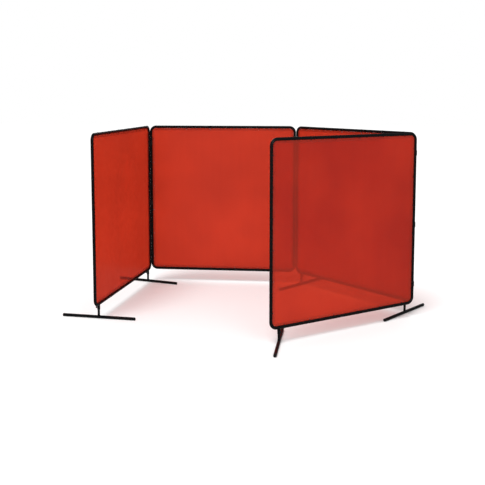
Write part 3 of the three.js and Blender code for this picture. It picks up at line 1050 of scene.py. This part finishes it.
class WELDSCREEN_OT_clips(bpy.types.Operator):
    """Moulds the double hinge clips and snaps them on the stiles"""

    bl_idname = "weld_screen.clips"
    bl_label = "Hinge clips"

    def execute(self, context):
        sizes = context.scene.screen_sizes
        first, second = (Vector(JOINTS[name]["pos_m"]) for name in CLIP_GRIPS["12"])
        pitch = (second - first).to_2d().length
        clip = clip_grip(sizes, -pitch / 2, 1)
        cut(clip, clip_grip(sizes, pitch / 2, -1), "UNION")
        inner = pitch / 2 - sizes.clip_bore
        tall = sizes.clip_height
        web = start(bpy.ops.mesh.primitive_cube_add, "web", size=1,
                    scale=(2 * inner + 3 * MM, CLIP_WEB, tall - 2 * MM))
        for sign in (-1, 1):
            edit(web, "FACE")
            pick(web, lambda at, normal, s=sign: normal.y * s > 0.9, "FACE")
            bpy.ops.mesh.inset(thickness=1.2 * MM, depth=-1.4 * MM)
            done()
        cut(clip, web, "UNION")
        for sign in (-1, 1):
            cut(clip, rod("bore", sizes.clip_bore, 64, -tall, tall, "Z", (sign * pitch / 2, 0, 0)))
        round_edges(clip, 0.45 * MM, 2, 50)
        smooth(clip, 38)
        finish_with(clip, FINISHES["nylon"])
        for pair, grips in CLIP_GRIPS.items():
            ends = [Vector(JOINTS[name]["pos_m"]) for name in grips]
            along = ends[1] - ends[0]
            angle = math.atan2(along.y, along.x)
            for level in CLIP_PLACES:
                node = f"hinge_clip_{pair}_{level}"
                at = (ends[0] + ends[1]) / 2
                at.z = middle(node).z
                matrix = Matrix.Translation(at) @ Matrix.Rotation(angle, 4, "Z")
                place(clip, f"clip_{pair}_{level}", matrix, f"clips_{pair}", [node])
        discard(clip)
        return {"FINISHED"}


# ------------------------------------------------------------------ feet

POST_LOOP = 25 * MM
PLUG_LENGTH = 16 * MM
PLUG_CHAMFER = 1 * MM
PLUG_CLEAR = 0.3 * MM
PLUG_RIBS = ((14.5, 12), (7.6, 5))
RIB_HEIGHT, RIB_SLOPE = 0.7 * MM, 0.4 * MM
# Shares of the dome's radius and height, from its shoulder to its middle.
DOME = ((1, 0.42), (0.975, 0.52), (0.90, 0.68), (0.78, 0.82), (0.6, 0.92), (0.35, 0.985), (0.12, 1))


def foot_master(sizes, lay):
    """A floor bar with a post welded to its middle."""
    radius, wall, sides = sizes.tube_radius, sizes.tube_wall, sizes.tube_sides
    half = sizes.bar_length / 2 - sizes.cap_head
    top = lay["bottom_rail"] - radius - sizes.post_gap
    bar = start(bpy.ops.mesh.primitive_circle_add, "foot_master", vertices=sides, radius=radius,
                fill_type="NOTHING", location=(0, -half, radius), rotation=(math.pi / 2, 0, 0))
    edit(bar)
    bpy.ops.mesh.select_all(action="SELECT")
    here = -half
    for stop in (-POST_LOOP, POST_LOOP, half):
        pull(0, stop - here, 0)
        here = stop
    done()
    weld(bar)
    cap_ends(bar)
    cut(bar, rod("post", sizes.post_radius, 40, radius, top, at=(0, 0, 0)), "UNION")
    reach = half + OVERRUN
    cut(bar, rod("bar_bore", radius - wall, 40, -reach, reach, "Y", (0, 0, radius)))
    cut(bar, rod("post_bore", sizes.post_radius - wall, 32, 2 * radius - 0.2 * MM, top + OVERRUN))
    smooth(bar)
    seat = {"radius": radius, "across": np.cos}
    bead = weld_bead("bead", sizes.post_radius + BEAD_STANDOFF, POST_BEAD, seat, (0, 0, radius), 1)
    smooth(bead, 60)
    foot = join([bar, bead], "foot_master")
    finish_with(foot, FINISHES["foot"])
    return foot


def cap_master(sizes):
    """A ribbed plug with a shouldered dome, along +Y from the bar's end."""
    plug = sizes.tube_radius - sizes.tube_wall - PLUG_CLEAR
    head = sizes.tube_radius - PLUG_CLEAR
    groove, lip = plug - RIB_HEIGHT, 0.3 * MM
    radius, here = plug - PLUG_CHAMFER, -PLUG_LENGTH
    obj = start(bpy.ops.mesh.primitive_circle_add, "cap_master", vertices=48, radius=radius,
                fill_type="NGON", location=(0, here, 0), rotation=(math.pi / 2, 0, 0))
    profile = []
    for rib_start, rib_end in PLUG_RIBS:
        if profile:
            profile.append((groove, -rib_start * MM - RIB_SLOPE))
        profile += [(plug, -rib_start * MM), (plug, -rib_end * MM), (groove, -rib_end * MM + RIB_SLOPE)]
    profile += [(groove, lip), (head - 0.4 * MM, lip), (head, 0.7 * MM)]
    profile += [(share * head, rise * sizes.cap_head) for share, rise in DOME]
    edit(obj)
    bpy.ops.mesh.select_all(action="SELECT")
    for next_radius, y in profile:
        pull(0, y - here, 0)
        factor = next_radius / radius
        bpy.ops.transform.resize(value=(factor, 1, factor), center_override=(0, 0, 0))
        radius, here = next_radius, y
    done()
    weld(obj)
    smooth(obj, 40)
    finish_with(obj, FINISHES["nylon"])
    return obj


class WELDSCREEN_OT_feet(bpy.types.Operator):
    """Welds the T-feet and plugs the ends of their bars"""

    bl_idname = "weld_screen.feet"
    bl_label = "Feet and end caps"

    def execute(self, context):
        sizes = context.scene.screen_sizes
        lay = panel_layout(sizes)
        foot, cap = foot_master(sizes, lay), cap_master(sizes)
        half = sizes.bar_length / 2 - sizes.cap_head
        for number, side in FEET:
            name = f"{number}_{side}"
            at = Vector(JOINTS[f"foot_{name}_swivel"]["pos_m"])
            along = middle(f"foot_cap_{name}_outer") - middle(f"foot_cap_{name}_inner")
            angle = math.atan2(along.y, along.x) - math.pi / 2
            stand = Matrix.Translation((at.x, at.y, 0)) @ Matrix.Rotation(angle, 4, "Z")
            body = f"foot_{name}"
            place(foot, f"tee_foot_{name}", stand, body, [f"foot_{name}"])
            bar_end = Matrix.Translation((0, half, sizes.tube_radius))
            for end, spin in (("outer", 0.0), ("inner", math.pi)):
                place(cap, f"end_cap_{name}_{end}", stand @ (Matrix.Rotation(spin, 4, "Z") @ bar_end),
                      body, [f"foot_cap_{name}_{end}"])
        discard(foot, cap)
        return {"FINISHED"}


KNOB_LOBES = 5
KNOB_CLEAR, TIP_CLEAR = 0.3 * MM, 0.75 * MM
SCALLOP_RADIUS, SCALLOP_OUT = 4.3 * MM, 2.6 * MM
COLLAR_RADIUS, DIMPLE_RADIUS = 5.6 * MM, 4.2 * MM
CLAMP_SHANK = 3 * MM


class WELDSCREEN_OT_knobs(bpy.types.Operator):
    """Moulds the lobed clamp knobs on their screws"""

    bl_idname = "weld_screen.knobs"
    bl_label = "Clamp knobs"

    def execute(self, context):
        sizes = context.scene.screen_sizes
        lay = panel_layout(sizes)
        begin = sizes.tube_radius + BOSS_STANDS + KNOB_CLEAR
        end = begin + sizes.knob_height
        knob = rod("knob_master", sizes.knob_radius + 0.5 * MM, 60, begin + 1.2 * MM, end, "Y")
        far = sizes.knob_radius + SCALLOP_OUT
        for index in range(KNOB_LOBES):
            angle = 2 * math.pi * (index + 0.5) / KNOB_LOBES
            cut(knob, rod("scallop", SCALLOP_RADIUS, 32, begin - OVERRUN, end + OVERRUN, "Y",
                          (far * math.cos(angle), 0, far * math.sin(angle))))
        round_edges(knob, 1.1 * MM, 4, 40)
        cut(knob, rod("collar", COLLAR_RADIUS, 40, begin, begin + 2 * MM, "Y"), "UNION")
        cut(knob, rod("dimple", DIMPLE_RADIUS, 40, end - 0.5 * MM, end + OVERRUN, "Y"))
        smooth(knob, 35)
        finish_with(knob, FINISHES["nylon"])
        tip = sizes.post_radius + TIP_CLEAR
        shank = rod("shank", CLAMP_SHANK, 24, tip, begin + MM, "Y")
        edit(shank, "FACE")
        pick(shank, lambda at, normal: normal.y < -0.9, "FACE")
        bpy.ops.mesh.bevel(offset=0.5 * MM, segments=2, affect="EDGES")
        done()
        smooth(shank)
        finish_with(shank, FINISHES["oxide"])
        whole = join([knob, shank], "knob_master")
        height = lay["bottom_rail"] - sizes.tube_radius - sizes.socket_drop / 2
        for number, side in FEET:
            name = f"{number}_{side}"
            at = Matrix.Translation((SIDE[side] * lay["foot"], 0, height))
            place(whole, f"lobed_knob_{name}", panel_matrix(number, lay) @ at, f"clamp_knob_{name}",
                  [f"clamp_knob_{name}"])
        discard(whole)
        return {"FINISHED"}


# ------------------------------------------------------------------ stage


CAMERA_AT = (0.7744, -8.2545, 2.3937)
CAMERA_YAW = -0.1009
CAMERA_PITCH = 0.1017
CAMERA_LENS = 57.28
CAMERA_SHIFT = -0.1495
SENSOR_WIDTH = 36.0
FAR_CLIP = 300.0
WORLD_LIGHT, WORLD_SHINE = 0.66, 0.13
SUN_POWER, SUN_SPREAD, SUN_FROM = 1.75, 30.0, (-0.20, -0.40, 1.0)
LAMP_POWER, LAMP_SIZE, LAMP_AIM = 60.0, 3.0, (0, 0, 0.8)
LAMPS = {"fill": (3.5, -6.0, 4.5), "rim": (-2.5, 6.5, 5.0)}
FLOOR_GLOW = 0.06
FLOOR_LEVEL = -0.0005


def area_light(name, at):
    """A soft round panel of light that faces the screen."""
    light = bpy.data.lights.new(name, "AREA")
    light.shape, light.size, light.energy = "DISK", LAMP_SIZE, LAMP_POWER
    obj = bpy.data.objects.new(name, light)
    bpy.context.scene.collection.objects.link(obj)
    obj.location = at
    obj.rotation_euler = (Vector(LAMP_AIM) - Vector(at)).to_track_quat("-Z", "Y").to_euler()


class WELDSCREEN_OT_stage(bpy.types.Operator):
    """Lays the studio floor and sets the lights and the camera"""

    bl_idname = "weld_screen.stage"
    bl_label = "Floor, lights and camera"

    def execute(self, context):
        scene = context.scene
        sizes, shades = scene.screen_sizes, scene.screen_colours
        floor = start(bpy.ops.mesh.primitive_plane_add, "studio_floor", size=sizes.floor_size,
                      location=(0, 0, FLOOR_LEVEL))
        material, tree, shader, _ = blank("studio_floor")
        vector = add_node(tree, "TexCoord").outputs["Object"]
        tone = mix_colour(tree, noise(tree, vector, 0.7, 2.0), rgba(shades.floor),
                          rgba([part * 0.99 for part in shades.floor]))
        tree.links.new(tone, shader.inputs["Base Color"])
        set_inputs(shader, Roughness=0.9, Specular_IOR_Level=0.0, Emission_Color=(1, 1, 1, 1),
                   Emission_Strength=FLOOR_GLOW)
        finish_with(floor, material)
        floor.visible_glossy = False

        world = bpy.data.worlds.new("studio")
        scene.world = world
        world.use_nodes = True
        sky = world.node_tree
        back = next(n for n in sky.nodes if n.type == "BACKGROUND")
        path = add_node(sky, "LightPath")
        shine = add_node(sky, "MapRange", {"Value": path.outputs["Is Glossy Ray"],
                                           "To Min": WORLD_LIGHT, "To Max": WORLD_SHINE})
        seen = path.outputs["Is Camera Ray"]
        total = arithmetic(sky, "MAXIMUM", shine.outputs[0], seen)
        sky.links.new(total, back.inputs["Strength"])
        back.inputs["Color"].default_value = (1, 1, 1, 1)

        sun = bpy.data.lights.new("overhead", "SUN")
        sun.energy, sun.angle = SUN_POWER, math.radians(SUN_SPREAD)
        overhead = bpy.data.objects.new("overhead", sun)
        scene.collection.objects.link(overhead)
        overhead.rotation_euler = Vector(SUN_FROM).to_track_quat("Z", "Y").to_euler()
        overhead.visible_glossy = False
        for name, at in LAMPS.items():
            area_light(name, at)

        camera = bpy.data.cameras.new("camera")
        camera.lens, camera.sensor_width, camera.shift_y = CAMERA_LENS, SENSOR_WIDTH, CAMERA_SHIFT
        camera.clip_end = FAR_CLIP
        obj = bpy.data.objects.new("camera", camera)
        scene.collection.objects.link(obj)
        obj.location = CAMERA_AT
        obj.rotation_euler = (math.pi / 2 - CAMERA_PITCH, 0, -CAMERA_YAW)
        scene.camera = obj
        scene.view_settings.view_transform = "Standard"
        return {"FINISHED"}


# ------------------------------------------------------------------ panel and registration


BUILDERS = (WELDSCREEN_OT_frames, WELDSCREEN_OT_splices, WELDSCREEN_OT_curtains, WELDSCREEN_OT_clips,
            WELDSCREEN_OT_feet, WELDSCREEN_OT_knobs, WELDSCREEN_OT_stage)


class WELDSCREEN_PT_panel(bpy.types.Panel):
    """Lists the builders, the sizes and the colours"""

    bl_label = "Welding screen"
    bl_space_type = "VIEW_3D"
    bl_region_type = "UI"
    bl_category = "Screen"

    def draw(self, context):
        for builder in BUILDERS:
            self.layout.operator(builder.bl_idname)
        for group in (context.scene.screen_sizes, context.scene.screen_colours):
            box = self.layout.box()
            for name in group.__annotations__:
                box.prop(group, name)


CLASSES = (ScreenSizes, ScreenColours, *BUILDERS, WELDSCREEN_PT_panel)


def register():
    for item in CLASSES:
        bpy.utils.register_class(item)
    bpy.types.Scene.screen_sizes = bpy.props.PointerProperty(type=ScreenSizes)
    bpy.types.Scene.screen_colours = bpy.props.PointerProperty(type=ScreenColours)


def unregister():
    del bpy.types.Scene.screen_sizes
    del bpy.types.Scene.screen_colours
    for item in reversed(CLASSES):
        bpy.utils.unregister_class(item)


def main():
    register()
    make_finishes()
    for builder in BUILDERS:
        category, name = builder.bl_idname.split(".")
        getattr(getattr(bpy.ops, category), name)()


if __name__ == "__main__":
    main()
